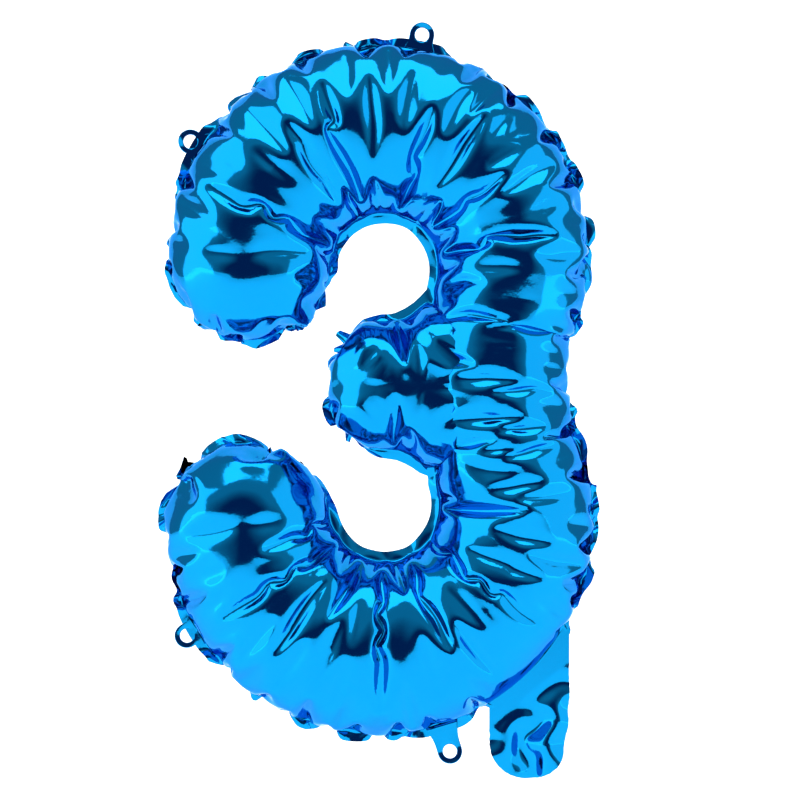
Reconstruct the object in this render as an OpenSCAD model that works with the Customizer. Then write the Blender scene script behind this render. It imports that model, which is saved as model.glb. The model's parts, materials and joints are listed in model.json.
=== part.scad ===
// Foil number balloon, digit three. Two die-cut film panels are welded face to face along a
// seam and blown up. Outside the seam runs a flat flange, which carries four hang tabs, and at
// the lower right a flat filling tail with a two-film valve inside it.
// The digit stands in the XZ plane with its front towards -Y, and the seam lies at y = 0.
// The origin is the centre of the hole in the top hang tab.

/* [Bowls] */
// Radius of the upper bowl's outside, at the seam
upper_bowl_r = 124.5; // [110:0.5:140]
// Radius of the round bay inside the upper bowl, at the seam
upper_bay_r = 32.5; // [27:0.5:38]
// Drop of the upper bay's centre below the upper bowl's centre
upper_bay_drop = 8; // [0:0.5:12]
// Radius of the lower bowl's outside, at the seam
lower_bowl_r = 127; // [113:0.5:143]
// Radius of the round bay inside the lower bowl, at the seam
lower_bay_r = 33.5; // [28:0.5:39]
// Rise of the lower bay's centre above the lower bowl's centre
lower_bay_rise = 9; // [0:0.5:13]
// Distance of both bays' centres to the right of the bowls' centres
bay_shift = 3; // [0:0.5:6]
// Angle at which the upper arm ends, about the upper bay's centre
upper_arm_end = 176; // [165:1:180]
// Angle at which the lower arm ends, measured the other way about the lower bay's centre
lower_arm_end = 172; // [162:1:176]

/* [Middle arm and waist] */
// Height of the middle arm between the two bays, at the seam
mid_arm_h = 76; // [66:0.5:90]
// Reach of the middle arm to the left of the bays' centres
mid_arm_reach = 31; // [26:0.5:36]
// Rounding of the middle arm's blunt end
mid_end_round = 26; // [20:0.5:30]
// Angle, about each bay, at which the bowl's tube turns into the waist
waist_angle = 21; // [16:1:26]
// Distance from the bays' centres to the inside of the waist's tube
waist_inside = 26; // [20:0.5:32]
// Distance from the bays' centres to the outside of the waist's tube
waist_outside = 109; // [98:0.5:116]

/* [Film and flange] */
// Thickness of one foil film
film_t = 0.2; // [0.15:0.05:0.3]
// Thickness of one valve film
valve_t = 0.1; // [0.05:0.05:0.15]
// Width of the welded flange outside the seam
flange_w = 6; // [4.5:0.5:8]
// Open gap in the film at each folding line
hinge_gap = 0.9; // [0.9:0.02:0.98]

/* [Hang tabs] */
// Diameter of the hole in each hang tab
tab_hole_d = 8.4; // [6:0.2:10]
// Width of the film around the hole
tab_rim = 3.2; // [2.4:0.2:4.5]
// Film between the hole and the tab's folding line
tab_root = 1.8; // [1:0.2:2.4]
// Angle of the top tab about the upper bowl's centre
top_tab_angle = 79; // [72:1:86]
// Distance from the seam to the centre of the top tab's hole
top_tab_out = 10; // [8:0.5:14]
// Angle of the upper left tab about the upper bowl's centre
upper_left_tab_angle = 149; // [138:1:158]
// Angle of the lower left tab about the lower bowl's centre
lower_left_tab_angle = -149; // [-158:1:-138]
// Distance from the seam to the holes of both left tabs
left_tab_out = 7.5; // [7:0.5:12]
// Angle of the bottom tab about the lower bowl's centre
bottom_tab_angle = -73; // [-84:1:-71]
// Distance from the seam to the centre of the bottom tab's hole
bottom_tab_out = 18; // [9:0.5:20]

/* [Filling tail and valve] */
// Width of the tail
tail_w = 48; // [40:1:57]
// Distance from the bowls' centres to the tail's middle line
tail_x = 90; // [82:1:94]
// Distance from the lower bowl's centre down to the tail's end
tail_drop = 155.5; // [150:0.5:180]
// Angle of the tail's folding line about the lower bowl's centre
tail_root_angle = -50; // [-56:1:-46]
// Width of the valve films
valve_w = 34; // [28:1:38]
// Length of the valve films from end to end
valve_len = 106; // [90:1:120]
// Distance from the tail's end to the valve's mouth
valve_mouth_in = 7; // [4:0.5:14]

/* [Hidden] */
$fn = 96;

// Points round each ring of the tubes, and rings along each stretch.
ring_points = 24;
bowl_steps = 18;
cap_steps = 5;
cap_tilt = 82;
flare_steps = 4;

foil_blue = "#0a86d2";
valve_clear = "#dfe9ee";

// The digit is drawn lying flat: x to the right, y up the digit, z out of its front.
upper_c = -(upper_bowl_r + top_tab_out) * [cos(top_tab_angle), sin(top_tab_angle)];
upper_bay_c = upper_c + [bay_shift, -upper_bay_drop];
lower_bay_c = upper_bay_c - [0, upper_bay_r + mid_arm_h + lower_bay_r];
lower_c = lower_bay_c - [bay_shift, lower_bay_rise];
mid_y = upper_bay_c.y - upper_bay_r - mid_arm_h / 2;
mid_end_x = upper_bay_c.x - mid_arm_reach;

// A bowl: its centre, its outside radius, its bay's centre and its bay's radius.
upper_bowl = [upper_c, upper_bowl_r, upper_bay_c, upper_bay_r];
lower_bowl = [lower_c, lower_bowl_r, lower_bay_c, lower_bay_r];

// Half the gap at a folding line lies on each side of the line.
fold_gap = hinge_gap / 2;
// Room at each side of the valve films in the passage between the tail's welds.
slot_side_gap = 0.1;
// Overrun that keeps a cut's face off the face that it opens.
eps = 0.01;
// The flange runs this far inside the seam, into the dome's wall.
flange_lap = 2;
// A tab's seat starts this far inside the seam.
seat_lap = 1;
// Film of the neck between the flange's edge and the tail's folding line.
tail_neck_len = 2;
// The middle arm flares over this share of the bay's radius, and its hidden root goes on
// this far into the waist, a little deeper than the waist's tube.
flare_share = 0.75;
mid_arm_root = 18;
root_proud = 2;
// Longer than an ear, and longer than the whole digit, for shapes that only cut.
past_ear = 60;
far = 600;

// Each tab: bowl centre, seam radius, angle, distance from the seam to the hole.
top_tab = [upper_c, upper_bowl_r, top_tab_angle, top_tab_out];
upper_left_tab = [upper_c, upper_bowl_r, upper_left_tab_angle, left_tab_out];
lower_left_tab = [lower_c, lower_bowl_r, lower_left_tab_angle, left_tab_out];
bottom_tab = [lower_c, lower_bowl_r, bottom_tab_angle, bottom_tab_out];
tabs = [top_tab, upper_left_tab, lower_left_tab, bottom_tab];
tab_r = tab_hole_d / 2 + tab_rim;

tail_mid_x = lower_c.x + tail_x;
tail_end_y = lower_c.y - tail_drop;
tail_fold_r = lower_bowl_r + flange_w + tail_neck_len;
valve_mouth_y = tail_end_y + valve_mouth_in;

// ---- The blown-up tube, as rings along it ----
// A ring is its centre, half its width in the plane of the seam, the angle of the line from its
// inner to its outer edge, and half its depth.

function direction(angle) = [cos(angle), sin(angle)];

// Distance from the bay's centre to the bowl's outside along an angle.
function outside_at(bowl, angle) =
    let (offset = bowl[0] - bowl[2], along = offset * direction(angle))
    along + sqrt(bowl[1] * bowl[1] - offset * offset + along * along);

// The ring that fills the space between the bay and the bowl's outside.
function bowl_ring(bowl, angle) =
    let (outside = outside_at(bowl, angle), half = (outside - bowl[3]) / 2)
    [bowl[2] + (bowl[3] + half) * direction(angle), half, angle, half];

// The same ring tipped along the tube to round off its end; side is 1 past the ring, -1 before.
function cap_ring(ring, side, tilt) = [
    ring[0] + side * ring[1] * sin(tilt) * direction(ring[2] + 90),
    ring[1] * cos(tilt),
    ring[2],
    ring[3] * cos(tilt)
];

function cap_rings(ring, side) = [
    for (i = [1 : cap_steps]) cap_ring(ring, side, cap_tilt * i / cap_steps)
];

function bowl_rings(bowl, from_angle, to_angle) = [
    for (i = [0 : bowl_steps]) bowl_ring(bowl, from_angle + (to_angle - from_angle) * i / bowl_steps)
];

function reversed(list) = [for (i = [len(list) - 1 : -1 : 0]) list[i]];

// One tube from the lower arm's end round the lower bowl, up the waist and round the upper bowl.
waist_half = (waist_outside - waist_inside) / 2;
waist_ring = [[upper_bay_c.x + waist_inside + waist_half, mid_y], waist_half, 0, waist_half];
backbone = concat(
    bowl_rings(lower_bowl, -lower_arm_end, waist_angle),
    [waist_ring],
    bowl_rings(upper_bowl, -waist_angle, upper_arm_end)
);
backbone_rings = concat(
    reversed(cap_rings(backbone[0], -1)),
    backbone,
    cap_rings(backbone[len(backbone) - 1], 1)
);

// The middle arm fills the space between the two bays, so it flares towards the waist, where it
// comes to the depth of the waist's tube.
function flare_ring(share) =
    let (right = share * flare_right,
        top = upper_bay_c.y - sqrt(upper_bay_r * upper_bay_r - right * right),
        bottom = lower_bay_c.y + sqrt(lower_bay_r * lower_bay_r - right * right),
        arm_half = mid_arm_h / 2)
    [
        [upper_bay_c.x + right, (top + bottom) / 2],
        (top - bottom) / 2,
        90,
        arm_half + share * (root_depth - arm_half)
    ];

// Rings of the rounding at the arm's blunt end, down to its flat face.
function blunt_ring(turn) =
    let (half = mid_arm_h / 2 - mid_end_round * (1 - cos(turn)))
    [[mid_end_x + mid_end_round * (1 - sin(turn)), mid_y], half, 90, half];

flare_right = flare_share * upper_bay_r;
root_depth = waist_half + root_proud;
root_ring = [
    [flare_ring(1)[0].x + mid_arm_root, flare_ring(1)[0].y], flare_ring(1)[1], 90, root_depth
];
middle_arm_rings = concat(
    reversed(cap_rings(root_ring, -1)),
    [root_ring],
    [for (i = [flare_steps : -1 : 0]) flare_ring(i / flare_steps)],
    [for (i = [0 : cap_steps]) blunt_ring(90 * i / cap_steps)]
);

// ---- Solids and outlines through the rings; grow makes every ring larger ----

function ring_points_at(ring, grow) = [
    for (k = [0 : ring_points - 1])
        let (turn = 360 * k / ring_points,
            edge = ring[0] + (ring[1] + grow) * cos(turn) * direction(ring[2]))
        [edge.x, edge.y, (ring[3] + grow) * sin(turn)]
];

// A tube's end is moved outwards too, or the film would have no thickness there.
function grown(rings, grow) =
    let (last = len(rings) - 1)
    [
        for (i = [0 : last])
            let (side = i == 0 ? -1 : i == last ? 1 : 0)
            [
                rings[i][0] + side * grow * direction(rings[i][2] + 90),
                rings[i][1],
                rings[i][2],
                rings[i][3]
            ]
    ];

// The two triangles of the tube's wall between point k and the next point of a ring.
function wall_halves(here, k, next) = [
    [here + k, here + ring_points + next, here + ring_points + k],
    [here + k, here + next, here + ring_points + next]
];

module tube(rings, grow) {
    last = len(rings) - 1;
    polyhedron(
        points = [for (ring = grown(rings, grow)) for (point = ring_points_at(ring, grow)) point],
        faces = [
            [for (k = [ring_points - 1 : -1 : 0]) k],
            for (i = [0 : last - 1])
                for (k = [0 : ring_points - 1])
                    for (half = wall_halves(i * ring_points, k, (k + 1) % ring_points))
                        half,
            [for (k = [0 : ring_points - 1]) last * ring_points + k]
        ]
    );
}

module tube_outline(rings, grow) {
    edges = grown(rings, grow);
    polygon(concat(
        [for (ring = edges) ring[0] + (ring[1] + grow) * direction(ring[2])],
        [for (ring = reversed(edges)) ring[0] - (ring[1] + grow) * direction(ring[2])]
    ));
}

module body(grow) {
    tube(backbone_rings, grow);
    tube(middle_arm_rings, grow);
}

module outline(grow) {
    tube_outline(backbone_rings, grow);
    tube_outline(middle_arm_rings, grow);
}

// ---- Hang tabs: in a tab's own view x points away from the seam and 0 is the hole ----

module at_tab(tab) {
    translate(tab[0])
        rotate(tab[2])
            translate([tab[1] + tab[3], 0])
                children();
}

tab_fold_x = -(tab_hole_d / 2 + tab_root);

// The ear outside its folding line, as film without its hole.
module tab_outline(gap) {
    difference() {
        union() {
            circle(tab_r);
            translate([tab_fold_x, -tab_r])
                square([-tab_fold_x, 2 * tab_r]);
        }
        translate([tab_fold_x - far, -far])
            square([far + gap, 2 * far]);
    }
}

module hang_tab(tab) {
    at_tab(tab)
        difference() {
            translate([0, 0, -film_t])
                linear_extrude(2 * film_t)
                    tab_outline(fold_gap);
            cylinder(d = tab_hole_d, h = 4 * film_t, center = true);
        }
}

// Film of the flange that reaches out to a tab's folding line.
module tab_seat(tab) {
    at_tab(tab)
        translate([-tab[3] - seat_lap, -tab_r])
            square([tab[3] + seat_lap + tab_fold_x - fold_gap, 2 * tab_r]);
}

// Clearance round an ear where it leaves the flange.
module tab_notch(tab) {
    at_tab(tab)
        translate([tab_fold_x - fold_gap, -tab_r - fold_gap])
            square([past_ear, 2 * (tab_r + fold_gap)]);
}

// ---- Filling tail ----

// Everything outside the tail's folding line, moved outwards by gap.
module beyond_tail_fold(gap) {
    translate(lower_c)
        rotate(tail_root_angle)
            translate([tail_fold_r + gap, -far])
                square([far, 2 * far]);
}

// A strip with the tail's middle line, from a round end at end_y up into the bowl.
module tail_strip(strip_w, end_y) {
    translate([tail_mid_x, end_y + strip_w / 2])
        circle(strip_w / 2);
    translate([tail_mid_x - strip_w / 2, end_y + strip_w / 2])
        square([strip_w, lower_c.y - end_y - strip_w / 2]);
}

module valve_strip(strip_w) {
    translate([tail_mid_x - strip_w / 2, valve_mouth_y])
        square([strip_w, valve_len]);
}

module tail_film() {
    color(foil_blue)
        difference() {
            linear_extrude(film_t + valve_t)
                intersection() {
                    tail_strip(tail_w, tail_end_y);
                    beyond_tail_fold(fold_gap);
                }
            translate([0, 0, -eps])
                linear_extrude(valve_t + eps)
                    valve_passage();
        }
}

// The open passage between the two welded sides of the tail, as wide as the valve films.
module valve_passage() {
    translate([tail_mid_x - valve_w / 2 - slot_side_gap, tail_end_y - eps])
        square([valve_w + 2 * slot_side_gap, valve_mouth_y + valve_len - tail_end_y]);
}

module tail_valve_film() {
    color(valve_clear)
        linear_extrude(valve_t)
            intersection() {
                valve_strip(valve_w);
                beyond_tail_fold(fold_gap);
            }
}

module valve_film() {
    color(valve_clear)
        linear_extrude(valve_t)
            difference() {
                valve_strip(valve_w);
                beyond_tail_fold(-fold_gap);
            }
}

// ---- Panels ----

module tail_neck_outline() {
    difference() {
        tail_strip(tail_w, tail_end_y);
        beyond_tail_fold(-fold_gap);
    }
}

module flange_outline() {
    difference() {
        union() {
            outline(flange_w);
            for (tab = tabs)
                tab_seat(tab);
            tail_neck_outline();
        }
        for (tab = tabs)
            tab_notch(tab);
        beyond_tail_fold(-fold_gap);
        outline(-flange_lap);
    }
}

// One panel: half the blown-up film, its flange, and the neck that the valve passes through.
// The dome starts half a film up, inside the flange, so that the two share no face. Resize with
// no sizes changes nothing: it has the panel kept as facets, for its tubes are faceted already.
module panel() {
    color(foil_blue)
        resize([0, 0, 0])
            difference() {
                union() {
                    intersection() {
                        body(0);
                        translate([-far, -far, film_t / 2])
                            cube([2 * far, 2 * far, far]);
                    }
                    linear_extrude(film_t)
                        flange_outline();
                    translate([0, 0, film_t / 2])
                        linear_extrude(film_t / 2 + valve_t)
                            tail_neck_outline();
                }
                body(-film_t);
                translate([0, 0, -eps])
                    linear_extrude(valve_t + eps)
                        valve_passage();
            }
}

// ---- Sub-parts, stood up so that the digit's front faces -Y ----

module stand_up() {
    rotate([90, 0, 0])
        children();
}

module stand_up_behind() {
    rotate([90, 0, 0])
        mirror([0, 0, 1])
            children();
}

module front_panel() { stand_up() panel(); }
module back_panel() { stand_up_behind() panel(); }
module valve_front_film() { stand_up() valve_film(); }
module valve_back_film() { stand_up_behind() valve_film(); }
module tail_front_film() { stand_up() tail_film(); }
module tail_back_film() { stand_up_behind() tail_film(); }
module tail_valve_front_film() { stand_up() tail_valve_film(); }
module tail_valve_back_film() { stand_up_behind() tail_valve_film(); }
module hang_tab_top() { color(foil_blue) stand_up() hang_tab(top_tab); }
module hang_tab_upper_left() { color(foil_blue) stand_up() hang_tab(upper_left_tab); }
module hang_tab_lower_left() { color(foil_blue) stand_up() hang_tab(lower_left_tab); }
module hang_tab_bottom() { color(foil_blue) stand_up() hang_tab(bottom_tab); }

front_panel();
back_panel();
valve_front_film();
valve_back_film();
tail_front_film();
tail_back_film();
tail_valve_front_film();
tail_valve_back_film();
hang_tab_top();
hang_tab_upper_left();
hang_tab_lower_left();
hang_tab_bottom();
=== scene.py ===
# %% [markdown]
# A foil number balloon is two flat sheets of metallised film, cut to the outline of the
# digit and heat welded along a narrow seam. Gas bends the flat sheets into round tubes, and
# a sheet that cannot stretch has to fold where it has too much length. Those folds are what
# makes it look like foil, so here the film is really blown up, by a small solver, and the
# seam, the hang tabs and the filling tail are built round the result.

import json
import math
import time

import bpy
import numpy as np
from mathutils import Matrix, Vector, geometry

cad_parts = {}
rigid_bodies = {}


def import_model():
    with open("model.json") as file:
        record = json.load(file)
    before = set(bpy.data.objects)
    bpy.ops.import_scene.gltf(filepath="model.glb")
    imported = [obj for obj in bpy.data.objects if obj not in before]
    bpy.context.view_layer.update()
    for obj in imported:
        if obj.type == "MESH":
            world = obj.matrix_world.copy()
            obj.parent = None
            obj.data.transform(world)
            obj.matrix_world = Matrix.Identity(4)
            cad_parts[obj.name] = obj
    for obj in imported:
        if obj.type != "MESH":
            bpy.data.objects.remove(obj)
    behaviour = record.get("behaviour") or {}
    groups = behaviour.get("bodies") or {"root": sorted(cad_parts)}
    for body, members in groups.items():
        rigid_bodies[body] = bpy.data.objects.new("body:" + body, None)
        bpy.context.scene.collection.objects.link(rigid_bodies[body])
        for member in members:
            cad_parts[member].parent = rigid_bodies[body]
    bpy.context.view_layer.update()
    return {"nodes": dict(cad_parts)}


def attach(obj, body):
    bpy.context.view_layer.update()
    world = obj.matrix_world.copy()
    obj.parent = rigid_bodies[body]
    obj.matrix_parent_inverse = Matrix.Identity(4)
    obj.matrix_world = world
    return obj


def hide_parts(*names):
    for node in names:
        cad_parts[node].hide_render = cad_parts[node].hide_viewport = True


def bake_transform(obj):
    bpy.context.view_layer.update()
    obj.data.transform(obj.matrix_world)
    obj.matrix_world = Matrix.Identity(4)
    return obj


for leftover in list(bpy.data.objects):
    bpy.data.objects.remove(leftover)
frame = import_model()
MM = 0.001

# %% [markdown]
# These sizes are the CAD part's own, apart from the welded flange, which is half a
# millimetre wider here. The digit is laid out in the plane of its seam, as x to the right
# and z up, with the hole of the top tab at the origin. Each bowl is a ring between a round
# bay and a larger circle that is set a little off it.

# %% Sizes of the digit
UPPER_BOWL_R = 124.5 * MM
UPPER_BAY_R = 32.5 * MM
UPPER_BAY_DROP = 8 * MM
LOWER_BOWL_R = 127 * MM
LOWER_BAY_R = 33.5 * MM
LOWER_BAY_RISE = 9 * MM
BAY_SHIFT = 3 * MM
UPPER_ARM_END = 176
LOWER_ARM_END = 172
MID_ARM_H = 76 * MM
MID_ARM_REACH = 31 * MM
MID_END_ROUND = 26 * MM
WAIST_ANGLE = 21
WAIST_INSIDE = 26 * MM
WAIST_OUTSIDE = 109 * MM
FLANGE_W = 6.5 * MM  # 6 mm in the CAD part
TOP_TAB_OUT = 10 * MM
TOP_TAB_ANGLE = 79
LEFT_TAB_OUT = 7.5 * MM
LEFT_TAB_ANGLE = 149
BOTTOM_TAB_OUT = 18 * MM
BOTTOM_TAB_ANGLE = -73
TAB_HOLE_R = 4.2 * MM
TAB_R = 7.4 * MM
TAIL_W = 48 * MM
TAIL_X = 90 * MM
TAIL_DROP = 155.5 * MM
TAIL_ANGLE = -50
TAIL_FOLD_OUT = 135 * MM
VALVE_W = 34 * MM
VALVE_MOUTH_IN = 7 * MM


def toward(angle):
    """The unit vector, or vectors, at an angle in degrees in the plane of the seam."""
    turn = np.radians(angle)
    return np.stack([np.cos(turn), np.sin(turn)], -1)


upper_c = -(UPPER_BOWL_R + TOP_TAB_OUT) * toward(TOP_TAB_ANGLE)
upper_bay = upper_c + np.array([BAY_SHIFT, -UPPER_BAY_DROP])
lower_bay = upper_bay - np.array([0, UPPER_BAY_R + MID_ARM_H + LOWER_BAY_R])
lower_c = lower_bay - np.array([BAY_SHIFT, LOWER_BAY_RISE])
mid_z = upper_bay[1] - UPPER_BAY_R - MID_ARM_H / 2
print("bowl centres, mm:", np.round(upper_c / MM, 1), np.round(lower_c / MM, 1))

# %% [markdown]
# The seam is drawn as the edges of two tubes: one runs from the lower arm's end round both
# bowls to the upper arm's end, and one is the middle arm. A cross line of a tube is kept as
# its centre, half its width and its angle, and a rounded end is a fan of narrower lines.

# %% The seam as the edges of two tubes
BOWL_STEPS = 60
CAP_STEPS = 14


def cross_line(bowl_c, bowl_r, bay_c, bay_r, angle):
    """The line from the bay to the bowl's outside, at one angle round the bay."""
    offset = bowl_c - bay_c
    along = offset @ toward(angle)
    outside = along + math.sqrt(bowl_r**2 - offset @ offset + along**2)
    half = (outside - bay_r) / 2
    return bay_c + (bay_r + half) * toward(angle), half, angle


def round_end(line, side, full_turn=88):
    """Narrower cross lines that close a tube past its last one."""
    centre, half, angle = line
    return [
        (
            centre + side * half * math.sin(turn) * toward(angle + 90),
            half * math.cos(turn),
            angle,
        )
        for turn in np.radians(np.linspace(0, full_turn, CAP_STEPS + 1)[1:])
    ]


def edges_of(lines, grow=0.0):
    """The closed outline through both ends of every cross line."""
    last = len(lines) - 1
    near, far = [], []
    for i, (centre, half, angle) in enumerate(lines):
        push = (-grow if i == 0 else grow if i == last else 0) * toward(angle + 90)
        far.append(centre + push + (half + grow) * toward(angle))
        near.append(centre + push - (half + grow) * toward(angle))
    return np.array(far + near[::-1])


lower_lines = [
    cross_line(lower_c, LOWER_BOWL_R, lower_bay, LOWER_BAY_R, a)
    for a in np.linspace(-LOWER_ARM_END, WAIST_ANGLE, BOWL_STEPS)
]
upper_lines = [
    cross_line(upper_c, UPPER_BOWL_R, upper_bay, UPPER_BAY_R, a)
    for a in np.linspace(-WAIST_ANGLE, UPPER_ARM_END, BOWL_STEPS)
]
waist_half = (WAIST_OUTSIDE - WAIST_INSIDE) / 2
waist_line = (np.array([upper_bay[0] + WAIST_INSIDE + waist_half, mid_z]), waist_half, 0)
backbone = lower_lines + [waist_line] + upper_lines
backbone = round_end(backbone[0], -1)[::-1] + backbone + round_end(backbone[-1], 1)

# %% [markdown]
# The middle arm is a short tube with a blunt end. Its root is hidden where the bowls meet,
# and there it flares towards both bays. It could be cut out of the bowls' outline, but as a
# tube of its own it keeps one width, and its end is rounded with two numbers.

# %% The middle arm, from its hidden root to its blunt end
FLARE_RIGHT = 0.75 * UPPER_BAY_R
MID_ARM_ROOT = 40 * MM


def flare_line(right):
    """A cross line of the middle arm at a distance right of the bays' centres."""
    top = upper_bay[1] - math.sqrt(UPPER_BAY_R**2 - right**2)
    bottom = lower_bay[1] + math.sqrt(LOWER_BAY_R**2 - right**2)
    return np.array([upper_bay[0] + right, (top + bottom) / 2]), (top - bottom) / 2, 90


def blunt_line(turn):
    """A cross line of the rounding at the arm's blunt end."""
    half = MID_ARM_H / 2 - MID_END_ROUND * (1 - math.cos(turn))
    left = upper_bay[0] - MID_ARM_REACH + MID_END_ROUND * (1 - math.sin(turn))
    return np.array([left, mid_z]), half, 90


root = flare_line(FLARE_RIGHT)
middle_arm = [(root[0] + np.array([MID_ARM_ROOT, 0]), root[1], 90)]
middle_arm += [flare_line(FLARE_RIGHT * s) for s in np.linspace(1, 0, 12)]
middle_arm += [blunt_line(t) for t in np.radians(np.linspace(0, 90, 14))]
print("cross lines:", len(backbone), "round the bowls,", len(middle_arm), "in the arm")


# %% [markdown]
# To place film anywhere, one measure is enough: how far a point is outside the seam, or
# inside it as a negative number. The seam is then where the measure is nought, the edge of
# the welded flange is where it equals the flange's width, and both are found the same way.

# %% How far a point is outside the seam
def outside_by(outline, points):
    """Distance of each point from an outline, negative inside it."""
    nearest = np.full(len(points), 1e9)
    inside = np.zeros(len(points), bool)
    for a, b in zip(outline, np.roll(outline, -1, 0)):
        ab, ap = b - a, points - a
        share = np.clip(ap @ ab / max(ab @ ab, 1e-18), 0, 1)
        nearest = np.minimum(nearest, ((ap - share[:, None] * ab) ** 2).sum(1))
        spans = (a[1] > points[:, 1]) != (b[1] > points[:, 1])
        if spans.any():
            inside ^= spans & (ap[:, 0] < ap[:, 1] * ab[0] / (ab[1] or 1e-18))
    return np.where(inside, -1, 1) * np.sqrt(nearest)


backbone_edge, arm_edge = edges_of(backbone), edges_of(middle_arm)


def off_seam(points):
    return np.minimum(outside_by(backbone_edge, points), outside_by(arm_edge, points))


def off_and_outward(points, step):
    """Distance off the seam, and the unit direction in which it grows."""
    here = off_seam(points)
    slope = np.stack([off_seam(points + step * np.eye(2)[k]) - here for k in (0, 1)], 1)
    return here, slope / np.maximum(np.linalg.norm(slope, axis=1), 1e-9)[:, None]


def onto(points, level):
    """Moves points to where they are a given distance off the seam."""
    here, outward = off_and_outward(points, 0.05 * MM)
    return points - (here - level)[:, None] * outward


def spaced(outline, step):
    """Points at even steps round a closed outline."""
    loop = np.vstack([outline, outline[:1]])
    run = np.r_[0, np.cumsum(np.linalg.norm(np.diff(loop, axis=0), axis=1))]
    at = np.linspace(0, run[-1], int(round(run[-1] / step)), endpoint=False)
    return np.stack([np.interp(at, run, loop[:, k]) for k in (0, 1)], 1)


# %% [markdown]
# The film needs a mesh with no direction of its own, or the folds would follow its rows.
# So points go on the seam, on the flange's edge and on a lattice of equal triangles between
# them, and a Delaunay triangulation joins them. It is coarse at first: the big folds form
# on large triangles, and finer ones follow when each triangle is cut in four.

# %% A first coarse mesh of the film
CELL = 6.8 * MM


def lattice_over(low, high, cell):
    """Rows of points, each row shifted by half a step, as corners of equal triangles."""
    rows = []
    for i, z in enumerate(np.arange(low[1], high[1], cell * math.sqrt(0.75))):
        xs = np.arange(low[0] + cell / 2 * (i % 2), high[0], cell)
        rows.append(np.stack([xs, np.full(len(xs), z)], 1))
    return np.vstack(rows)


def joined(points):
    """Delaunay triangles over points of the plane."""
    got = geometry.delaunay_2d_cdt([tuple(p / MM) for p in points], [], [], 0, 1e-4)
    return np.array(got[0]) * MM, np.array([f for f in got[2] if len(f) == 3])


def turned_alike(at, faces):
    """The same triangles, all with their corners anticlockwise in the plane."""
    a, b, c = (at[faces[:, k]] for k in range(3))
    flip = ((b - a)[:, 0] * (c - a)[:, 1] - (b - a)[:, 1] * (c - a)[:, 0]) < 0
    faces[flip] = faces[flip][:, ::-1]
    return faces


def first_mesh():
    """Points of the film in the plane, which of them are on the seam, and triangles."""
    seam = np.vstack([
        p[outside_by(other, p) > 0.25 * CELL]
        for p, other in (
            (spaced(backbone_edge, CELL), arm_edge),
            (spaced(arm_edge, CELL), backbone_edge),
        )
    ])
    rim = np.vstack([
        spaced(edges_of(backbone, FLANGE_W), CELL), spaced(edges_of(middle_arm, FLANGE_W), CELL)
    ])
    rim = rim[off_seam(rim) > FLANGE_W - 0.4 * MM]
    lattice = lattice_over(rim.min(0), rim.max(0), CELL)
    lattice = lattice[off_seam(lattice) < -0.62 * CELL]
    points, triangles = joined(np.vstack([seam, rim, lattice]))
    middle = off_seam(points[triangles].mean(1))
    triangles = triangles[middle < FLANGE_W - 0.05 * MM]
    middle = middle[middle < FLANGE_W - 0.05 * MM]
    return points, triangles, middle < 0


plan, tri, gas_side = first_mesh()
print("first mesh:", len(plan), "points,", len(tri), "triangles")


# %% [markdown]
# The two sheets share the seam's points and the flange, which is both films in one. Inside
# the seam every point is doubled, one for the front sheet and one for the back.

# %% Front sheet, back sheet and flange as one skin
def as_skin(points, triangles, inside):
    """Doubles the points inside the seam: front triangles are 0, back 1, flange 2."""
    used = np.unique(triangles)
    renumber = np.full(len(points), -1)
    renumber[used] = np.arange(len(used))
    points = points[used]
    triangles = turned_alike(points, renumber[triangles])
    only_gas = np.ones(len(points), bool)
    only_gas[triangles[~inside]] = False
    twin = np.arange(len(points))
    twin[only_gas] = len(points) + np.arange(only_gas.sum())
    back = twin[triangles[inside]][:, ::-1]
    skin = np.vstack([triangles[inside], back, triangles[~inside]])
    kind = np.repeat([0, 1, 2], [inside.sum(), inside.sum(), (~inside).sum()])
    side = np.r_[np.where(only_gas, -1, 0), np.ones(only_gas.sum(), int)]
    return np.vstack([points, points[only_gas]]), skin, kind, side


def edges_in(triangles):
    """Every edge once, and how many triangles meet at it."""
    pairs = np.sort(triangles[:, [0, 1, 1, 2, 2, 0]].reshape(-1, 2), axis=1)
    return np.unique(pairs, axis=0, return_inverse=True, return_counts=True)


def halved(points, place, side, triangles, kind):
    """Each triangle is cut in four, and new seam and rim points go back on their curves."""
    pairs, owner, count = edges_in(triangles)
    middle = points[pairs].mean(1)
    seam_like, rim_like = count == 3, count == 1
    middle[seam_like] = onto(middle[seam_like], 0.0)
    middle[rim_like] = onto(middle[rim_like], FLANGE_W)
    new = len(points) + owner.reshape(-1, 3)
    a, b, c = triangles.T
    ab, bc, ca = new.T
    cut = np.vstack([
        np.stack(t, 1) for t in ((a, ab, ca), (ab, b, bc), (ca, bc, c), (ab, bc, ca))
    ])
    face_side = np.zeros(len(pairs), int)
    face_side[owner.reshape(-1, 3)[kind == 0]] = -1
    face_side[owner.reshape(-1, 3)[kind == 1]] = 1
    new_side = np.where(count == 2, face_side, 0)
    return (
        np.vstack([points, middle]),
        np.vstack([place, place[pairs].mean(1)]),
        np.r_[side, new_side],
        cut,
        np.tile(kind, 4),
    )


# %% [markdown]
# A smooth guess at the blown-up digit comes next: each cross section is a half circle, as
# in a straight tube. Film that cannot stretch would have to be this long from seam to seam.
# Along the tube a flat cut always leaves some length over, because the crest and the outer
# seam move inwards when the digit fills. That spare length is what turns into folds.

# %% The smooth form that the gas aims for
TUBE_HALF = 46 * MM
ARM_HALF = MID_ARM_H / 2


def blend_step(value, start, end):
    """0 before the start, 1 past the end, and a smooth rise between them."""
    share = np.clip((value - start) / (end - start), 0, 1)
    return share * share * (3 - 2 * share)


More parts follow.
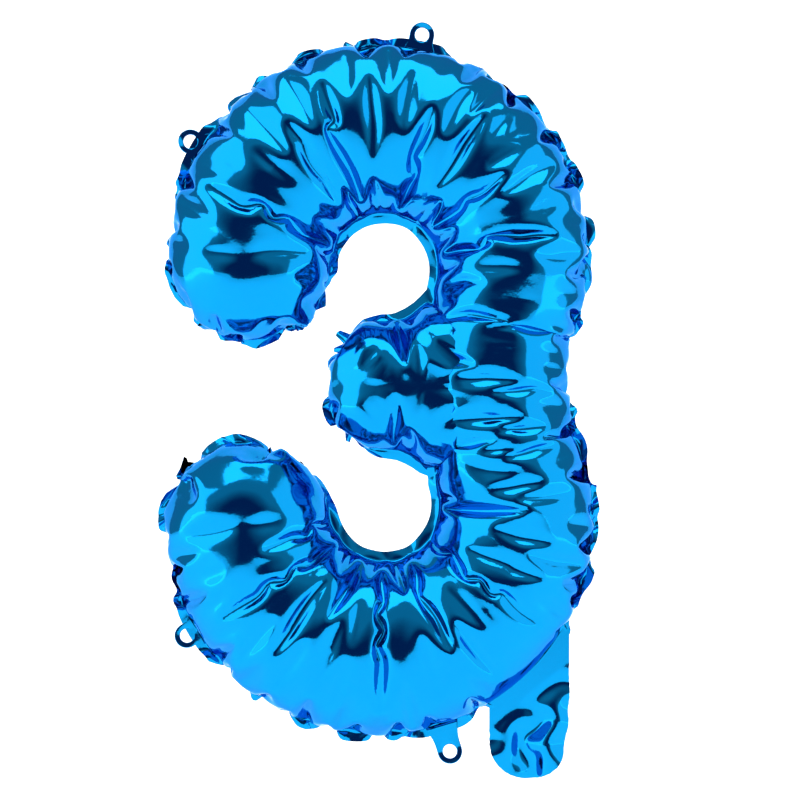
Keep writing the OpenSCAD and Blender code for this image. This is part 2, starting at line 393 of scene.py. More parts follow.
def inward(points):
    """Distance inside the seam, and the direction away from the nearest seam."""
    here, outward = off_and_outward(points, 0.2 * MM)
    return -here, -outward


def half_width(points):
    """Half the tube's width near each point: less in the middle arm."""
    in_arm = 1 - blend_step(points[:, 0], upper_bay[0] + 5 * MM, upper_bay[0] + 45 * MM)
    in_arm *= 1 - blend_step(np.abs(points[:, 1] - mid_z), 36 * MM, 48 * MM)
    return TUBE_HALF + in_arm * (ARM_HALF - TUBE_HALF)


def smooth_form(points, side):
    """Where each point goes if the tubes are perfectly round, with no folds."""
    depth, away = inward(points)
    wide = half_width(points)
    turn = np.pi / 2 * np.clip(depth / wide, 0, 1)
    drop = np.where(depth > 0, np.clip(depth, 0, wide) - wide * (1 - np.cos(turn)), 0)
    plan_place = points - away * drop[:, None]
    return np.stack([plan_place[:, 0], side * wide * np.sin(turn), plan_place[:, 1]], 1)


# %% [markdown]
# The weld puckers where the film beside it gathers. Where an ear or the tail hangs on it, it
# is kept still, so that the pieces meet without a gap, and it lets go again over a few
# millimetres. Pins at single points would do too, but they leave a kink at each pin.

# %% Where the weld is held flat: at each tab's root and at the tail's neck
EAR_CALM = (7 * MM, 15 * MM)
NECK_CALM = (22 * MM, 34 * MM)
TABS = {
    "top": (upper_c, UPPER_BOWL_R, TOP_TAB_ANGLE, TOP_TAB_OUT),
    "upper_left": (upper_c, UPPER_BOWL_R, LEFT_TAB_ANGLE, LEFT_TAB_OUT),
    "lower_left": (lower_c, LOWER_BOWL_R, -LEFT_TAB_ANGLE, LEFT_TAB_OUT),
    "bottom": (lower_c, LOWER_BOWL_R, BOTTOM_TAB_ANGLE, BOTTOM_TAB_OUT),
}
tail_mid_x = lower_c[0] + TAIL_X


def calm(points):
    """1 where the flange stays flat, 0 where it may pucker."""
    quiet = np.zeros(len(points))
    for bowl_c, bowl_r, angle, _ in TABS.values():
        gone = np.linalg.norm(points - bowl_c - bowl_r * toward(angle), axis=1)
        quiet = np.maximum(quiet, 1 - blend_step(gone, *EAR_CALM))
    neck = lower_c + LOWER_BOWL_R * toward(TAIL_ANGLE + 5)
    gone = np.linalg.norm(points - neck, axis=1)
    return np.maximum(quiet, 1 - blend_step(gone, *NECK_CALM))


# %% [markdown]
# How much length is over changes across the tube: none on a bay's seam, most a fifth of the
# way out from it, and as much again at the outer seam. The circles alone would give a
# smoother rule, but these shares were tuned until the folds had a foil's depth.

# %% Spare length along the tube
ACROSS = [0.0, 0.05, 0.2, 0.4, 0.55, 0.7, 0.86, 1.0]
SPARE = [0.0, 0.12, 0.22, 0.16, 0.10, 0.05, 0.11, 0.24]
FLANGE_SPARE = 0.24
BAY_FLANGE_SPARE = 0.04


def bay_turn(points):
    """Angle round the nearer bay's centre, and distance from that bay's edge."""
    upper = points[:, 1] > mid_z
    out = points - np.where(upper[:, None], upper_bay, lower_bay)
    far = np.linalg.norm(out, axis=1) - np.where(upper, UPPER_BAY_R, LOWER_BAY_R)
    return np.arctan2(out[:, 1], out[:, 0]), far, upper


def across_share(points):
    """0 at a bay's seam, a half on the crest and 1 at the outer seam."""
    depth, _ = inward(points)
    _, far, _ = bay_turn(points)
    half_share = 0.5 * np.clip(depth / half_width(points), 0, 1)
    return np.where(far < depth + 1.5 * MM, half_share, 1 - half_share)


def film_lengths(points, form, pairs, on_flange):
    """The length of every edge in the film: that of the smooth form, and some spare."""
    middle = points[pairs].mean(1)
    d = form[pairs[:, 1]] - form[pairs[:, 0]]
    length = np.linalg.norm(d, axis=1)
    _, away = inward(middle)
    along = np.abs(d[:, 0] * away[:, 1] - d[:, 2] * away[:, 0]) / np.maximum(length, 1e-9)
    spare = np.interp(across_share(middle), ACROSS, SPARE)
    in_bay = bay_turn(middle)[1] < 1 * MM
    spare = np.where(on_flange, np.where(in_bay, BAY_FLANGE_SPARE, FLANGE_SPARE), spare)
    spare = spare * (1 - calm(middle))
    return length * np.sqrt(((1 + spare) * along) ** 2 + 1 - np.clip(along, 0, 1) ** 2)


# %% [markdown]
# The solver moves points and then puts every edge of the mesh back to the length it has in
# the flat film, again and again. This is called position based dynamics. Gas pushes each
# point out along the surface, a little stiffness against bending rounds the folds off, and
# the seam is held loosely in its place so that it can pucker. To mend thousands of edges in
# one numpy step, they are sorted into groups in which no two edges share a point.

# %% Edges in groups that share no point
def grouped(pairs):
    """Puts each edge in the first group that has neither of its points yet."""
    taken = [0] * (int(pairs.max()) + 1)
    group = np.empty(len(pairs), int)
    for i, (a, b) in enumerate(pairs.tolist()):
        busy = taken[a] | taken[b]
        g = (~busy & (busy + 1)).bit_length() - 1
        taken[a] |= 1 << g
        taken[b] |= 1 << g
        group[i] = g
    return [np.flatnonzero(group == g) for g in range(group.max() + 1)]


def neighbours(pairs, n):
    """A table of up to eight neighbours of each point, padded with the point itself."""
    both = np.vstack([pairs, pairs[:, ::-1]])
    both = both[np.argsort(both[:, 0], kind="stable")]
    first = np.searchsorted(both[:, 0], np.arange(n))
    rank = np.arange(len(both)) - first[both[:, 0]]
    table = np.repeat(np.arange(n)[:, None], 8, 1)
    keep = rank < 8
    table[both[keep, 0], rank[keep]] = both[keep, 1]
    return table, np.maximum(np.bincount(both[keep, 0], minlength=n), 1)[:, None]


# %% Blow the film up
def blow(place, triangles, gas, rest, pairs, hold, home, steps, push, stiff, ramp=0, sweeps=2,
         push_in=0.6, slow=0.96):
    """Returns the settled points. hold is how firmly each point stays at its home."""
    groups = grouped(pairs)
    table, count = neighbours(pairs, len(place))
    begin = np.linalg.norm(place[pairs[:, 1]] - place[pairs[:, 0]], axis=1)
    parts = [(pairs[g, 0], pairs[g, 1], begin[g], rest[g]) for g in groups]
    x, before = place.copy(), place.copy()
    corner = triangles[gas].ravel()
    free = (stiff > 0)[:, None]
    for step in range(steps):
        moved = slow * (x - before)
        before = x.copy()
        x += moved
        a, b, c = (x[triangles[gas, k]] for k in range(3))
        n = np.repeat(np.cross(b - a, c - a), 3, axis=0)
        area = np.stack([np.bincount(corner, n[:, k], len(x)) for k in range(3)], 1)
        x += push * area / np.maximum(np.linalg.norm(area, axis=1), 1e-12)[:, None]
        share = min(1.0, (step + 1) / ramp) if ramp else 1.0
        for _ in range(sweeps):
            for i, j, start, full in parts:
                d = x[j] - x[i]
                length = np.sqrt(np.einsum("ij,ij->i", d, d))
                want = start + share * (full - start)
                fix = 0.5 * (1 - want / np.maximum(length, 1e-7))
                d *= np.where(fix < 0, push_in * fix, fix)[:, None]
                x[i] += d
                x[j] -= d
        bend = x[table].sum(1) - (8 - count) * x
        bend = bend / count - x
        again = (bend[table].sum(1) - (8 - count) * bend) / count - bend
        x -= free * stiff[:, None] * again
        x += hold[:, None] * (home - x)
    return x


# %% [markdown]
# Folds need a place to begin. Round each bay the real ones stand about 20 mm apart at the
# crest, like darts, so a faint fan of grooves is pressed into the smooth form first, with
# uneven spacing. The solver turns it into true folds, and finds the finer ones itself.

# %% A faint fan of grooves round each bay
DARTS = 20
LOBES = 29


def valleys(phase):
    """1 in a sharp valley at every whole turn of the phase, 0 between them."""
    return (1 - np.abs(np.sin(phase / 2))) ** 1.4


def groove(points, side):
    """Darts that fan out from the bays and end a little past the crest."""
    turn, far, upper = bay_turn(points)
    phase = np.where(upper, 0.4, 1.9) + np.where(side < 0, 0.0, 1.3)
    wander = 0.9 * np.sin(3 * turn + phase) + 0.6 * np.sin(5 * turn + 2.1 * phase)
    reach = 0.56 + 0.12 * np.sin(7 * turn + 3 * phase)
    share = across_share(points)
    fade = blend_step(share, 0.0, 0.1) * (1 - blend_step(share, reach - 0.2, reach + 0.1))
    strong = 0.6 + 0.25 * np.sin(7 * turn + phase) + 0.25 * np.sin(12 * turn - 2 * phase)
    return fade * strong * valleys(DARTS * turn + 1.8 * wander)


def seam_tuck(points, side):
    """Short tucks that cut the outer edge into lobes."""
    turn, _, upper = bay_turn(points)
    phase = LOBES * turn + 1.7 * np.sin(4 * turn + upper) + 1.1 * np.sin(9 * turn)
    for centre, heading in ((upper_lines[-1][0], 90 + UPPER_ARM_END),
                            (lower_lines[0][0], -90 - LOWER_ARM_END)):
        out = points - centre
        past = (out @ toward(heading) > 0) & (np.linalg.norm(out, axis=1) < 56 * MM)
        round_cap = 9 * np.arctan2(out[:, 1], out[:, 0])
        phase = np.where(past, round_cap + 0.8 * np.sin(round_cap / 3), phase)
    reach = blend_step(across_share(points), 0.72, 0.97) * (1 - calm(points))
    return reach * valleys(phase)


def ripple(points, long, seed, count=9):
    """Uneven waves of one length in every direction."""
    turn = np.random.default_rng(seed).uniform(0, 2 * np.pi, (2, count))
    across = points @ np.stack([np.cos(turn[0]), np.sin(turn[0])]) * (2 * np.pi / long)
    return np.sin(across + turn[1]).sum(1) / math.sqrt(count)


# %% [markdown]
# The film is blown up in three rounds. The first starts from the grooved form and lets the
# spare length in slowly, so that the large folds settle. Each further round halves the
# triangles, pushes less and lets go of the grooves, so that finer creases find their place.

# %% Three rounds, each on triangles half as large
START_NOISE = 0.12 * MM
rng = np.random.default_rng(7)
points, skin, kind, side = as_skin(plan, tri, gas_side)
place = smooth_form(points, side)
DART_DEEP, TUCK_DEEP = 4.5 * MM, 6.0 * MM
_, away = inward(points)
tuck = seam_tuck(points, side) * TUCK_DEEP
place[:, 1] -= side * DART_DEEP * groove(points, side)
place[:, [0, 2]] += away * tuck[:, None] * (side != 0)[:, None]
guide = place.copy()
place += rng.normal(0, START_NOISE, place.shape)
# push is how far the gas moves a point in one step, bend how strongly folds are rounded,
# hold how firmly the seam keeps its place, guided how firmly the sheets keep the grooves.
ROUNDS = [
    dict(steps=300, push=0.008 * MM, bend=0.02, ramp=160, hold=0.03, guided=0.03),
    dict(steps=220, push=0.003 * MM, bend=0.03, ramp=0, hold=0.03, guided=0.003),
    dict(steps=140, push=0.001 * MM, bend=0.04, ramp=0, hold=0.03, guided=0.0),
]

for level, r in enumerate(ROUNDS):
    began = time.time()
    if level:
        both = np.hstack([place, guide])
        points, both, side, skin, kind = halved(points, both, side, skin, kind)
        place, guide = both[:, :3].copy(), both[:, 3:]
    pairs, owner, count = edges_in(skin)
    form = smooth_form(points, side)
    flange_edge = np.zeros(len(pairs), bool)
    flange_edge[owner.reshape(-1, 3)[kind == 2]] = True
    flange_edge[count == 3] = False
    rest = film_lengths(points, form, pairs, flange_edge)
    on_seam = np.zeros(len(points), bool)
    on_seam[pairs[count == 3]] = True
    hold = np.where(on_seam, r["hold"], 0.0)
    quiet = calm(points) * (side == 0)
    hold = np.maximum(hold, 0.4 * quiet)
    home = np.stack([points[:, 0], np.zeros(len(points)), points[:, 1]], 1)
    home = np.where((side != 0)[:, None], guide, home)
    hold = np.where(side != 0, r["guided"], hold)
    stiff = np.where(on_seam, 0.0, np.where(side == 0, 0.08, r["bend"]))
    place = blow(place, skin, kind < 2, rest, pairs, hold, home, r["steps"], r["push"],
                 stiff, r["ramp"])
    real = np.linalg.norm(place[pairs[:, 1]] - place[pairs[:, 0]], axis=1)
    print("round", level, len(points), "points,", len(pairs), "edges, strain",
          np.round(np.percentile(real / rest - 1, [5, 50, 95]), 3), "depth",
          np.round(np.ptp(place[:, 1]) / MM, 1), "box",
          np.round(place.min(0) / MM, 1), np.round(place.max(0) / MM, 1),
          round(time.time() - began, 1), "s")

# %% [markdown]
# Film that cannot stretch has one area for good: the one that the rest lengths of its edges
# add up to.

# %% [markdown]
# Each sheet becomes an object of its own, with its half of the welded flange.

# %% The two sheets as objects
def new_piece(name, places, triangles):
    """A smoothly shaded mesh object at the origin, in metres, linked to the scene."""
    mesh = bpy.data.meshes.new(name)
    mesh.from_pydata([tuple(p) for p in places], [], [tuple(t) for t in triangles])
    mesh.update()
    mesh.polygons.foreach_set("use_smooth", [True] * len(mesh.polygons))
    piece = bpy.data.objects.new(name, mesh)
    bpy.context.scene.collection.objects.link(piece)
    return piece


FILM_GAP = 0.12 * MM


def foil_sheet(name, own_kind, y_side):
    """One sheet with its half of the welded flange."""
    mine = skin[kind == own_kind]
    flange = skin[kind == 2] if y_side < 0 else skin[kind == 2][:, ::-1]
    faces = np.vstack([mine, flange])
    used = np.unique(faces)
    renumber = np.zeros(len(place), int)
    renumber[used] = np.arange(len(used))
    where = place[used].copy()
    where[side[used] == 0, 1] += y_side * FILM_GAP
    return new_piece(name, where, renumber[faces])


front_foil = foil_sheet("front_foil", 0, -1)
back_foil = foil_sheet("back_foil", 1, 1)
print("front sheet:", len(front_foil.data.polygons), "triangles")

# %% [markdown]
# A hang tab is a punched ear of the two welded films. It is a ring of film round the hole
# that widens into the flange, so rings of points run from the hole's edge to the ear's
# outline, and Solidify gives the pair of films its thickness.

# %% Hang tabs
EAR_POINTS, EAR_RINGS = 72, 7
EAR_T = 0.36 * MM
EAR_FLARE = 3.2 * MM
EAR_CURL = 0.9 * MM
EAR_WAVE, EAR_WAVE_LONG = 0.22 * MM, 2.1 * MM


def ear_reach(turn, root):
    """Distance from the hole's centre to the ear's outline, in a direction."""
    far = np.linspace(TAB_HOLE_R, 40 * MM, 1500)
    u, v = far * math.cos(turn), far * math.sin(turn)
    flare = TAB_R + EAR_FLARE * np.clip((-u - 4 * MM) / (root - 4 * MM), 0, 1) ** 2
    outside = np.where(u > 0, far > TAB_R, (np.abs(v) > flare) | (-u > root))
    return far[np.argmax(outside)]


def hang_ear(name, bowl_c, bowl_r, angle, out):
    """One ear, with the place of its hole and the direction that it stands out in."""
    hole = bowl_c + (bowl_r + out) * toward(angle)
    outwards, sideways = toward(angle), toward(angle + 90)
    turns = np.linspace(0, 2 * np.pi, EAR_POINTS, endpoint=False)
    reach = np.array([ear_reach(t, out - 0.5 * MM) for t in turns])
    rows = []
    for ring in range(EAR_RINGS + 1):
        r = TAB_HOLE_R + (reach - TAB_HOLE_R) * ring / EAR_RINGS
        u, v = r * np.cos(turns), r * np.sin(turns)
        curl = EAR_CURL * np.clip((u + 2 * MM) / TAB_R, 0, 1.5) ** 2
        wave = EAR_WAVE * np.sin(v / EAR_WAVE_LONG + angle) * np.clip(1 + u / (9 * MM), 0, 1)
        flat = hole + u[:, None] * outwards + v[:, None] * sideways
        rows.append(np.stack([flat[:, 0], -curl + wave, flat[:, 1]], 1))
    faces = [
        (r * EAR_POINTS + k, r * EAR_POINTS + (k + 1) % EAR_POINTS,
         (r + 1) * EAR_POINTS + (k + 1) % EAR_POINTS, (r + 1) * EAR_POINTS + k)
        for r in range(EAR_RINGS) for k in range(EAR_POINTS)
    ]
    ear = new_piece(name, np.vstack(rows), faces)
    thick = ear.modifiers.new("two welded films", "SOLIDIFY")
    thick.thickness, thick.offset = EAR_T, 0.0
    return ear, hole, outwards


ears = {name: hang_ear("hang_ear_" + name, *tab) for name, tab in TABS.items()}
print("hang tab holes, mm:", {k: np.round(v[1] / MM, 1).tolist() for k, v in ears.items()})

# %% [markdown]
# The filling tail is a strip of the same two films below the bowl. Nothing blows it up, so
# it crumples: its film is a little wider and longer than the room it has, and the same
# solver, without gas, finds the facets.

# %% The tail's outline
tail_end_z = lower_c[1] - TAIL_DROP
tail_top = LOWER_BOWL_R + 0.8 * MM
left_turn = -math.degrees(math.acos((TAIL_X - TAIL_W / 2) / tail_top))
right_turn = -math.degrees(math.acos((TAIL_X + TAIL_W / 2) / tail_top))
tail_edge = [lower_c + tail_top * toward(a) for a in np.linspace(left_turn, right_turn, 40)]
tail_edge += [
    np.array([tail_mid_x, tail_end_z + TAIL_W / 2]) + TAIL_W / 2 * toward(a)
    for a in np.linspace(0, -180, 50)
]
tail_edge = np.array(tail_edge)


def filled(outline, cell):
    """Points and triangles of equal size inside one outline."""
    rim = spaced(outline, cell)
    lattice = lattice_over(outline.min(0), outline.max(0), cell)
    lattice = lattice[outside_by(outline, lattice) < -0.6 * cell]
    at, faces = joined(np.vstack([rim, lattice]))
    return at, turned_alike(at, faces[outside_by(outline, at[faces].mean(1)) < 0])


# %% [markdown]
# Above its fold line the tail stays flat, as part of the bowl's weld. Below it two uneven
# ripples start the crumple, and each edge then gets a tenth more width and a twentieth more
# length than there is room for, so the solver has to fold the film.

# %% Crumple the tail
TAIL_WIDER, TAIL_LONGER = 0.11, 0.05
tail_plan, tail_faces = filled(tail_edge, 1.7 * MM)
tail_pairs, _, _ = edges_in(tail_faces)
span = tail_plan[tail_pairs[:, 1]] - tail_plan[tail_pairs[:, 0]]
free_fall = blend_step(
    (tail_plan - lower_c) @ toward(TAIL_ANGLE), TAIL_FOLD_OUT + 2 * MM, TAIL_FOLD_OUT + 24 * MM
)
loose = free_fall[tail_pairs].mean(1)
tail_rest = np.hypot(
    span[:, 0] * (1 + TAIL_WIDER * loose), span[:, 1] * (1 + TAIL_LONGER * loose)
)
tail_home = np.stack([tail_plan[:, 0], 0 * tail_plan[:, 0], tail_plan[:, 1]], 1)
tail_place = tail_home.copy()
upright = np.stack([tail_plan[:, 0], 0.22 * tail_plan[:, 1]], 1)
tail_place[:, 1] += free_fall * (
    2.6 * MM * ripple(upright, 19 * MM, 11) + 1.8 * MM * ripple(tail_plan, 24 * MM, 5)
)
tail_place = blow(
    tail_place, tail_faces, np.zeros(len(tail_faces), bool), tail_rest, tail_pairs,
    np.where(free_fall < 0.02, 0.5, 0.001), tail_home, 200, 0.0,
    np.full(len(tail_plan), 0.22) * (free_fall > 0.02), 60,
)
print("tail depth, mm:", round(float(np.ptp(tail_place[:, 1])) / MM, 1))


def film_normals(place, faces):
    """The direction that the film faces at each of its points."""
    a, b, c = (place[faces[:, k]] for k in range(3))
    n = np.repeat(np.cross(b - a, c - a), 3, axis=0)
    n = np.stack([np.bincount(faces.ravel(), n[:, k], len(place)) for k in range(3)], 1)
    return n / np.maximum(np.linalg.norm(n, axis=1), 1e-12)[:, None]


tail_out = film_normals(tail_place, tail_faces)
TAIL_FILM_OFF = 0.3 * MM
tail_front = new_piece("tail_front_foil", tail_place + TAIL_FILM_OFF * tail_out, tail_faces)
tail_back = new_piece(
    "tail_back_foil", tail_place - TAIL_FILM_OFF * tail_out, tail_faces[:, ::-1]
)

# %% [markdown]
# The valve is two narrow strips of clear polyethylene between the foils. Gas opens them
# from the mouth, and then they cling together. In the tail they follow its crumples.

# %% Valve films in the tail
VALVE_FILM_OFF = 0.1 * MM
# The films start this far past the fold line, clear of the ones that stay with the bowl.
VALVE_SPLIT = 1.8 * MM
VALVE_COLUMNS, VALVE_ROWS = 22, 48
across, down = np.meshgrid(
    np.linspace(-VALVE_W / 2, VALVE_W / 2, VALVE_COLUMNS), np.linspace(0, 1, VALVE_ROWS)
)
mouth_z = tail_end_z + VALVE_MOUTH_IN
fold_at = lower_c + TAIL_FOLD_OUT * toward(TAIL_ANGLE)
slant = -toward(TAIL_ANGLE)[0] / toward(TAIL_ANGLE)[1]
top_z = fold_at[1] + slant * (tail_mid_x + across - fold_at[0]) - VALVE_SPLIT
valve_plan = np.stack([tail_mid_x + across, mouth_z + down * (top_z - mouth_z)], -1)
valve_plan = valve_plan.reshape(-1, 2)
gone = ((valve_plan[:, None] - tail_plan[None]) ** 2).sum(-1)
near = np.argsort(gone, axis=1)[:, :4]
weight = 1 / (np.take_along_axis(gone, near, 1) + 1e-9)
weight /= weight.sum(1, keepdims=True)
valve_mid = (tail_place[near] * weight[..., None]).sum(1)
valve_out = (tail_out[near] * weight[..., None]).sum(1)
cells = [
    (r * VALVE_COLUMNS + k, r * VALVE_COLUMNS + k + 1,
     (r + 1) * VALVE_COLUMNS + k + 1, (r + 1) * VALVE_COLUMNS + k)
    for r in range(VALVE_ROWS - 1) for k in range(VALVE_COLUMNS - 1)
]
valve_front = new_piece("tail_valve_front", valve_mid + VALVE_FILM_OFF * valve_out, cells)
valve_back = new_piece(
    "tail_valve_back", valve_mid - VALVE_FILM_OFF * valve_out, [c[::-1] for c in cells]
)
print("valve films in the tail, mm long:", np.round((top_z[0] - mouth_z)[[0, -1]] / MM, 1))

# %% [markdown]
# ## Finishes
# Metallised polyester film: a clear film with a coat of aluminium only a few hundred atoms
# thick, tinted by a blue lacquer. The metal makes it a mirror, the lacquer colours the
# reflection, and a thin clear gloss lies over both.

# %% Colours and a node in one call
def linear(hex_colour):
    """An sRGB hex colour as the linear RGBA that shaders work in."""
    channels = [int(hex_colour[i : i + 2], 16) / 255 for i in (1, 3, 5)]
    return tuple(
        c / 12.92 if c <= 0.04045 else ((c + 0.055) / 1.055) ** 2.4 for c in channels
    ) + (1.0,)


def add_node(tree, kind, inputs=None, **settings):
    """Adds a node, sets its settings, and sets or links each of its inputs."""
    node = tree.nodes.new(kind)
    for name, value in settings.items():
        setattr(node, name, value)
    for name, value in (inputs or {}).items():
        if isinstance(value, bpy.types.NodeSocket):
            tree.links.new(value, node.inputs[name])
        else:
            node.inputs[name].default_value = value
    return node


def empty_material(name):
    """A material with no nodes yet, and its tree."""
    material = bpy.data.materials.new(name)
    material.use_nodes = True
    material.node_tree.nodes.clear()
    return material, material.node_tree


# %% [markdown]
# The blue film could be a glossy plastic, but a plastic's highlights stay white. As a metal
# it tints all that it reflects, which is what a lacquer over aluminium does.

# %% Metallised polyester film, blue
# The roll is smooth, so roughness is low and folds show as sharp light and dark facets.
# Handling leaves a faint crumple about 2.4 mm across, which is a scale of 420 a metre, and
# the lacquer is a little deeper in places about 110 mm apart, a scale of 9 a metre.
def blue_film(name):
    material, tree = empty_material(name)
    where = add_node(tree, "ShaderNodeTexCoord").outputs["Object"]
    clouds = add_node(tree, "ShaderNodeTexNoise", {"Vector": where, "Scale": 9.0, "Detail": 3.0})
    tint = add_node(tree, "ShaderNodeMix", {"Factor": clouds.outputs["Fac"]}, data_type="RGBA")
    tint.inputs["A"].default_value = linear("#0084c6")
    tint.inputs["B"].default_value = linear("#008ccc")
    fine = add_node(tree, "ShaderNodeTexNoise", {"Vector": where, "Scale": 420.0, "Detail": 2.0})
    bump = add_node(
        tree, "ShaderNodeBump",
        {"Strength": 0.12, "Distance": 0.0002, "Height": fine.outputs["Fac"]},
    )
    shader = add_node(
        tree, "ShaderNodeBsdfPrincipled",
        {
            "Base Color": tint.outputs["Result"], "Metallic": 1.0, "Roughness": 0.09,
            "Coat Weight": 0.08, "Coat Roughness": 0.06,
            "Specular Tint": linear("#62bcf4"), "Normal": bump.outputs["Normal"],
        },
    )
    add_node(tree, "ShaderNodeOutputMaterial", {"Surface": shader.outputs["BSDF"]})
    return material


film = blue_film("metallised_polyester_film_blue")
ear_pieces = [ear for ear, _, _ in ears.values()]
for piece in (front_foil, back_foil, tail_front, tail_back, *ear_pieces):
    piece.data.materials.append(film)


# %% [markdown]
# The valve's film has no metal on it. It is polyethylene blown from a ring into a thin tube,
# clear but hazy, so most of the light goes through and is spread a little on the way.

# %% Polyethylene valve film, clear
# Blown film is hazy and soft, with creases about 4 mm apart, a scale of 260 a metre.
def clear_film(name):
    material, tree = empty_material(name)
    where = add_node(tree, "ShaderNodeTexCoord").outputs["Object"]
    fine = add_node(tree, "ShaderNodeTexNoise", {"Vector": where, "Scale": 260.0})
    bump = add_node(
        tree, "ShaderNodeBump",
        {"Strength": 0.3, "Distance": 0.0002, "Height": fine.outputs["Fac"]},
    )
    shader = add_node(
        tree, "ShaderNodeBsdfPrincipled",
        {
            "Base Color": linear("#e6eef2"), "Roughness": 0.22, "IOR": 1.51,
            "Transmission Weight": 0.9, "Normal": bump.outputs["Normal"],
        },
    )
    add_node(tree, "ShaderNodeOutputMaterial", {"Surface": shader.outputs["BSDF"]})
    return material


valve_film = clear_film("low_density_polyethylene_film")
for piece in (valve_front, valve_back):
    piece.data.materials.append(valve_film)
for node in ("valve_front_film", "valve_back_film"):
    frame["nodes"][node].data.materials.clear()
    frame["nodes"][node].data.materials.append(valve_film)
print("finishes:", film.name, "and", valve_film.name)

# %% [markdown]
# ## Studio
# A mirror only shows what is round it, so the light is designed for its reflection: broad
# soft panels to the sides, above and below, a pale backdrop, and a dim room behind the
# camera that draws the dark bands along the crests. The camera looks straight at the seam's
# plane through a long lens, so that both bowls are seen from the front.

# %% Camera
AIM = np.array([-13.2 * MM, 0.0, -219 * MM])
FRAME_W = 480 * MM
camera_data = bpy.data.cameras.new("camera")
camera_data.lens = 85
camera_data.sensor_width = 36
camera = bpy.data.objects.new("camera", camera_data)
bpy.context.scene.collection.objects.link(camera)
camera.location = AIM - np.array([0, FRAME_W * camera_data.lens / camera_data.sensor_width, 0])
camera.rotation_euler = (math.radians(90), 0, 0)
bpy.context.scene.camera = camera
print("camera is", round(-camera.location.y, 3), "m in front of the seam")

# %% [markdown]
# Four broad panels stand round the balloon. A small lamp would put a hard white point on
# every fold, and a panel draws a long soft band along it instead.

# %% Lights
def soft_panel(name, place, width, height, power, colour="#ffffff"):
    """An area light that faces the balloon."""
    data = bpy.data.lights.new(name, "AREA")
    data.shape = "RECTANGLE"
    data.size, data.size_y, data.energy = width, height, power
    data.color = linear(colour)[:3]
    panel = bpy.data.objects.new(name, data)
    bpy.context.scene.collection.objects.link(panel)
    panel.location = place
    away_from_aim = Vector(np.array(place) - AIM)
    panel.rotation_euler = away_from_aim.to_track_quat("Z", "Y").to_euler()
    panel.visible_camera = False
    return panel


soft_panel("left_panel", (-2.0, -0.7, 0.2), 1.8, 2.6, 25)
soft_panel("right_panel", (2.0, -0.7, 0.0), 1.8, 2.6, 17)
soft_panel("top_panel", (0.0, -0.6, 1.9), 2.6, 1.6, 28)
soft_panel("low_panel", (0.0, -0.8, -2.0), 2.6, 1.2, 10)

# %% [markdown]
# The floor and the backdrop are one sheet of matt white paper that curves up behind, well
# below and behind the balloon, so that the film's edges have something pale to reflect.

# %% Floor and backdrop
def plain_pale(name, strength):
    """Matt white paper, with a glow that stands for light from the rest of the studio."""
    material, tree = empty_material(name)
    shader = add_node(
        tree, "ShaderNodeBsdfPrincipled",
        {"Base Color": linear("#f4f4f2"), "Roughness": 0.9,
         "Emission Color": linear("#ffffff"), "Emission Strength": strength},
    )
    add_node(tree, "ShaderNodeOutputMaterial", {"Surface": shader.outputs["BSDF"]})
    return material


FLOOR_Z = -0.62
HALF_SWEEP, BACK_Y, FRONT_Y, TOP_Z, SWEEP_R = 3.5, 2.2, -3.0, 2.6, 0.6
sweep = [(FRONT_Y, FLOOR_Z)]
sweep += [
    (BACK_Y - SWEEP_R + SWEEP_R * math.sin(t), FLOOR_Z + SWEEP_R - SWEEP_R * math.cos(t))
    for t in np.radians(np.linspace(0, 90, 13))
]
sweep += [(BACK_Y, TOP_Z)]
sweep_points = [(x, y, z) for y, z in sweep for x in (-HALF_SWEEP, HALF_SWEEP)]
sweep_faces = [(2 * i, 2 * i + 1, 2 * i + 3, 2 * i + 2) for i in range(len(sweep) - 1)]
floor = new_piece("floor_and_backdrop", sweep_points, sweep_faces)
floor.data.materials.append(plain_pale("matt_white_paper", 0.75))

# %% [markdown]
# The room gives the last of the reflections: pale walls, and a dim patch round the camera.
# What the camera sees directly is plain white, so only the film shows the dim patch.

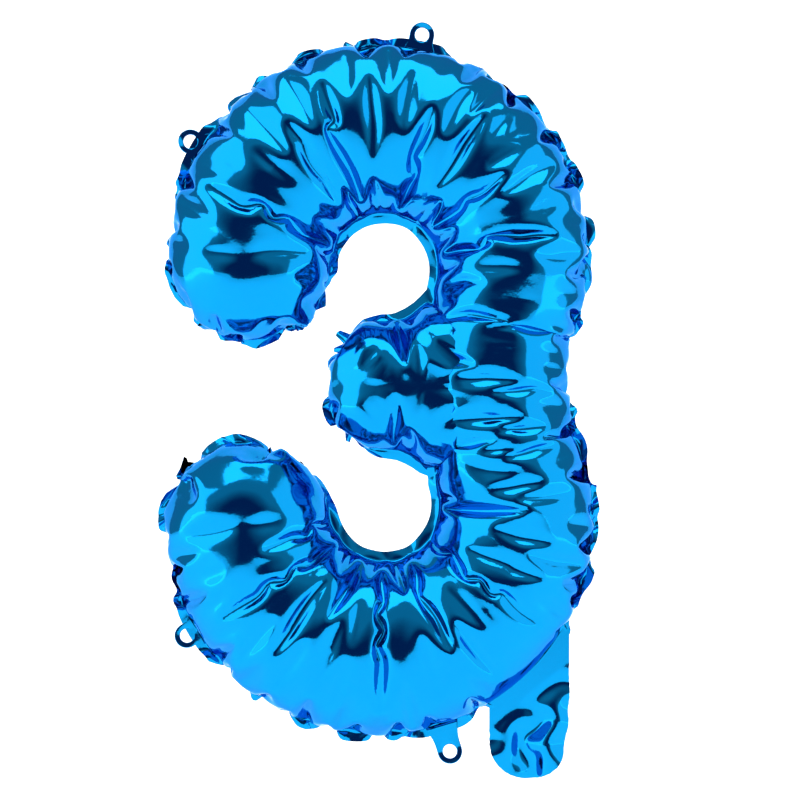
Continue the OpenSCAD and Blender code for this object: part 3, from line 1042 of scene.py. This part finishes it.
# %% Room light
world = bpy.data.worlds.new("room")
bpy.context.scene.world = world
world.use_nodes = True
tree = world.node_tree
tree.nodes.clear()
facing = add_node(tree, "ShaderNodeTexCoord").outputs["Generated"]
to_camera = add_node(
    tree, "ShaderNodeVectorMath", {0: facing, 1: (0.0, -1.0, -0.12)}, operation="DOT_PRODUCT"
)
walls = add_node(tree, "ShaderNodeValToRGB", {"Fac": to_camera.outputs["Value"]})
walls.color_ramp.elements[0].position = 0.70
walls.color_ramp.elements[0].color = linear("#f2f4f6")
walls.color_ramp.elements[1].position = 0.93
walls.color_ramp.elements[1].color = linear("#465484")
path = add_node(tree, "ShaderNodeLightPath")
dim = add_node(
    tree, "ShaderNodeBackground", {"Color": walls.outputs["Color"], "Strength": 0.52}
)
pale = add_node(tree, "ShaderNodeBackground", {"Color": linear("#ffffff"), "Strength": 1.0})
both = add_node(
    tree, "ShaderNodeMixShader",
    {"Fac": path.outputs["Is Camera Ray"], 1: dim.outputs["Background"],
     2: pale.outputs["Background"]},
)
add_node(tree, "ShaderNodeOutputWorld", {"Surface": both.outputs["Shader"]})
bpy.context.scene.view_settings.view_transform = "Standard"

# %% [markdown]
# Last, the sheets are welded into one body, and the valve films in the tail are tied to the
# tail's body. Ears and tail films keep their places, and each piece hides the CAD part that
# it stands for. The two sheets' area comes from the rest lengths. That of the ears, the
# tail and the valve is measured on their finished meshes, so there it says nothing new, and
# the tail's flat sizes are rough guesses on the long side.

# %% Bodies
for piece, node in ((front_foil, "front_panel"), (back_foil, "back_panel")):
    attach(piece, "balloon")
    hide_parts(node)

for name, (ear, hole, outwards) in ears.items():
    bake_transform(ear)
    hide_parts("hang_tab_" + name)

tail_area = float(np.linalg.norm(
    np.cross(*(np.diff(tail_place[tail_faces], axis=1).transpose(1, 0, 2))), axis=1
).sum() / 2)
for piece, node in ((tail_front, "tail_front_film"), (tail_back, "tail_back_film")):
    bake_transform(piece)
    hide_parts(node)
for piece, node in ((valve_front, "tail_valve_front_film"), (valve_back, "tail_valve_back_film")):
    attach(piece, "tail")
    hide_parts(node)
